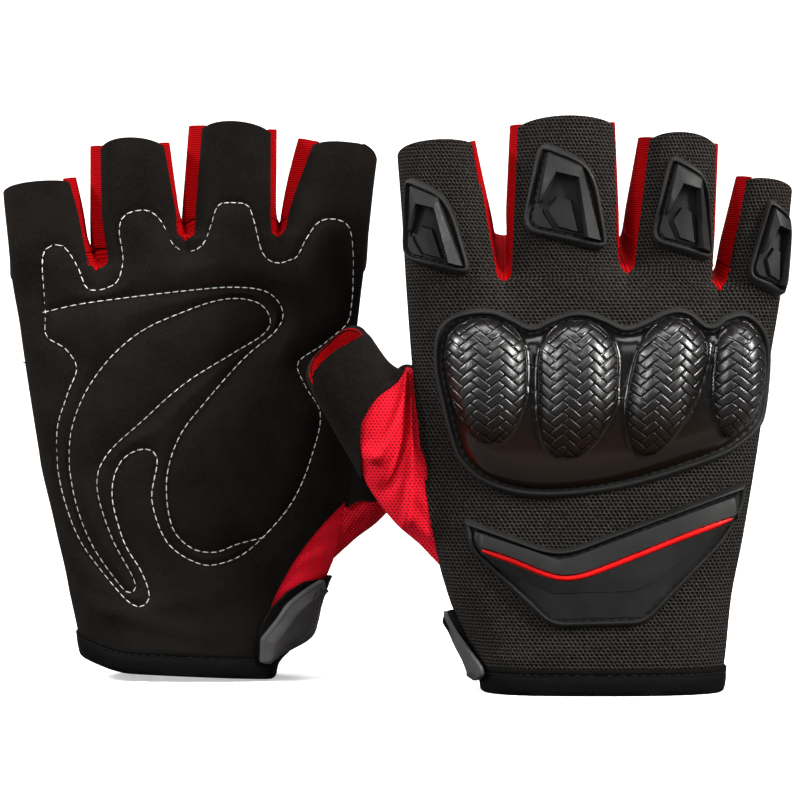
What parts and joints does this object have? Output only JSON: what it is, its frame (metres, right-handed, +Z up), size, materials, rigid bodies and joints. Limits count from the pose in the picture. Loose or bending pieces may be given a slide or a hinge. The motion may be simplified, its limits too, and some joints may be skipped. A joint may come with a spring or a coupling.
{
  "type": "riding gloves",
  "caption": "Half-finger riding gloves with a moulded knuckle guard, rubber finger and wrist guards, a padded palm and a hook-and-loop wrist strap.",
  "frame": {"origin": "on the ground, under the middle of the box round the pair, with the gloves standing on their cuffs", "axes": "+Z up from the cuffs to the fingertips; +X across the pair from glove A to glove B; -Y towards the viewer, who sees glove A's palm and glove B's back"},
  "size_m": [0.2165, 0.086, 0.1557],
  "materials": {
    "black_mesh": "coarse knitted mesh, matte",
    "black_suede": "short-nap synthetic suede, matte",
    "red_cloth": "fine ribbed elastic cloth",
    "red_mesh": "fine knitted mesh",
    "lining_cloth": "brushed tricot",
    "binding_tape": "smooth woven tape",
    "hard_shell": "glossy moulded shell with a braided texture on its domes",
    "black_rubber": "matte moulded rubber",
    "grey_rubber": "matte moulded rubber",
    "red_rubber": "satin moulded rubber",
    "hook_and_loop": "hook-and-loop tape",
    "foam": "closed-cell foam under the cloth"
  },
  "bodies": {
    "glove_a_hand": {"glove_a_back_panel": "black_mesh", "glove_a_palm_panel": "black_suede", "glove_a_lining": "lining_cloth", "glove_a_cuff_binding": "binding_tape", "glove_a_finger_webs": "red_cloth", "glove_a_knuckle_guard": "hard_shell", "glove_a_knuckle_foam": "foam", "glove_a_wrist_guard": "black_rubber", "glove_a_wrist_stripe": "red_rubber", "glove_a_palm_foam": "foam", "glove_a_loop_patch": "hook_and_loop", "glove_a_thumb_gusset": "red_mesh"},
    "glove_a_index": {"glove_a_index_stall": "black_mesh", "glove_a_index_fourchette": "red_cloth", "glove_a_index_pad": "black_rubber"},
    "glove_a_middle": {"glove_a_middle_stall": "black_mesh", "glove_a_middle_fourchette": "red_cloth", "glove_a_middle_pad": "black_rubber"},
    "glove_a_ring": {"glove_a_ring_stall": "black_mesh", "glove_a_ring_fourchette": "red_cloth", "glove_a_ring_pad": "black_rubber"},
    "glove_a_pinky": {"glove_a_pinky_stall": "black_mesh", "glove_a_pinky_fourchette": "red_cloth", "glove_a_pinky_pad": "black_rubber"},
    "glove_a_thumb": {"glove_a_thumb_stall": "black_suede", "glove_a_thumb_binding": "red_cloth"},
    "glove_a_closure": {"glove_a_closure_strap": "binding_tape", "glove_a_pull_tab": "grey_rubber", "glove_a_hook_patch": "hook_and_loop"},
    "glove_b_hand": {"glove_b_back_panel": "black_mesh", "glove_b_palm_panel": "black_suede", "glove_b_lining": "lining_cloth", "glove_b_cuff_binding": "binding_tape", "glove_b_finger_webs": "red_cloth", "glove_b_knuckle_guard": "hard_shell", "glove_b_knuckle_foam": "foam", "glove_b_wrist_guard": "black_rubber", "glove_b_wrist_stripe": "red_rubber", "glove_b_palm_foam": "foam", "glove_b_loop_patch": "hook_and_loop", "glove_b_thumb_gusset": "red_mesh"},
    "glove_b_index": {"glove_b_index_stall": "black_mesh", "glove_b_index_fourchette": "red_cloth", "glove_b_index_pad": "black_rubber"},
    "glove_b_middle": {"glove_b_middle_stall": "black_mesh", "glove_b_middle_fourchette": "red_cloth", "glove_b_middle_pad": "black_rubber"},
    "glove_b_ring": {"glove_b_ring_stall": "black_mesh", "glove_b_ring_fourchette": "red_cloth", "glove_b_ring_pad": "black_rubber"},
    "glove_b_pinky": {"glove_b_pinky_stall": "black_mesh", "glove_b_pinky_fourchette": "red_cloth", "glove_b_pinky_pad": "black_rubber"},
    "glove_b_thumb": {"glove_b_thumb_stall": "black_suede", "glove_b_thumb_binding": "red_cloth"},
    "glove_b_closure": {"glove_b_closure_strap": "binding_tape", "glove_b_pull_tab": "grey_rubber", "glove_b_hook_patch": "hook_and_loop"}
  },
  "joints": [
    {"name": "glove_a_index_flex", "type": "hinge", "parent": "glove_a_hand", "child": "glove_a_index", "pos_m": [-0.0155, 0.018, 0.12851], "axis": [0.999, 0, -0.0454], "range_deg": [0, 40]},
    {"name": "glove_a_middle_flex", "type": "hinge", "parent": "glove_a_hand", "child": "glove_a_middle", "pos_m": [-0.04727, 0.018, 0.12995], "axis": [0.999, 0, -0.0454], "range_deg": [0, 40]},
    {"name": "glove_a_ring_flex", "type": "hinge", "parent": "glove_a_hand", "child": "glove_a_ring", "pos_m": [-0.07644, 0.018, 0.13128], "axis": [0.999, 0, -0.0454], "range_deg": [0, 40]},
    {"name": "glove_a_pinky_flex", "type": "hinge", "parent": "glove_a_hand", "child": "glove_a_pinky", "pos_m": [-0.09791, 0.018, 0.12124], "axis": [0.999, 0, -0.0454], "range_deg": [0, 40]},
    {"name": "glove_a_thumb_swing", "type": "hinge", "parent": "glove_a_hand", "child": "glove_a_thumb", "pos_m": [-0.01916, 0.02, 0.04779], "axis": [0, 1, 0], "range_deg": [0, 15]},
    {"name": "glove_a_closure_peel", "type": "hinge", "parent": "glove_a_hand", "child": "glove_a_closure", "pos_m": [-0.01946, 0.0182, 0.01477], "axis": [0.0454, 0, 0.999], "range_deg": [0, 65]},
    {"name": "glove_b_index_flex", "type": "hinge", "parent": "glove_b_hand", "child": "glove_b_index", "pos_m": [0.015, -0.018, 0.1288], "axis": [-1, 0, 0], "range_deg": [0, 40]},
    {"name": "glove_b_middle_flex", "type": "hinge", "parent": "glove_b_hand", "child": "glove_b_middle", "pos_m": [0.0468, -0.018, 0.1288], "axis": [-1, 0, 0], "range_deg": [0, 40]},
    {"name": "glove_b_ring_flex", "type": "hinge", "parent": "glove_b_hand", "child": "glove_b_ring", "pos_m": [0.076, -0.018, 0.1288], "axis": [-1, 0, 0], "range_deg": [0, 40]},
    {"name": "glove_b_pinky_flex", "type": "hinge", "parent": "glove_b_hand", "child": "glove_b_pinky", "pos_m": [0.097, -0.018, 0.1178], "axis": [-1, 0, 0], "range_deg": [0, 40]},
    {"name": "glove_b_thumb_swing", "type": "hinge", "parent": "glove_b_hand", "child": "glove_b_thumb", "pos_m": [0.015, -0.02, 0.048], "axis": [0, -1, 0], "range_deg": [0, 15]},
    {"name": "glove_b_closure_peel", "type": "hinge", "parent": "glove_b_hand", "child": "glove_b_closure", "pos_m": [0.0138, -0.0182, 0.015], "axis": [0, 0, 1], "range_deg": [0, 65]},
    {"name": "pair_part", "type": "slide", "parent": "glove_a_hand", "child": "glove_b_hand", "axis": [0, -1, 0], "range_m": [0, 0.03]}
  ]
}
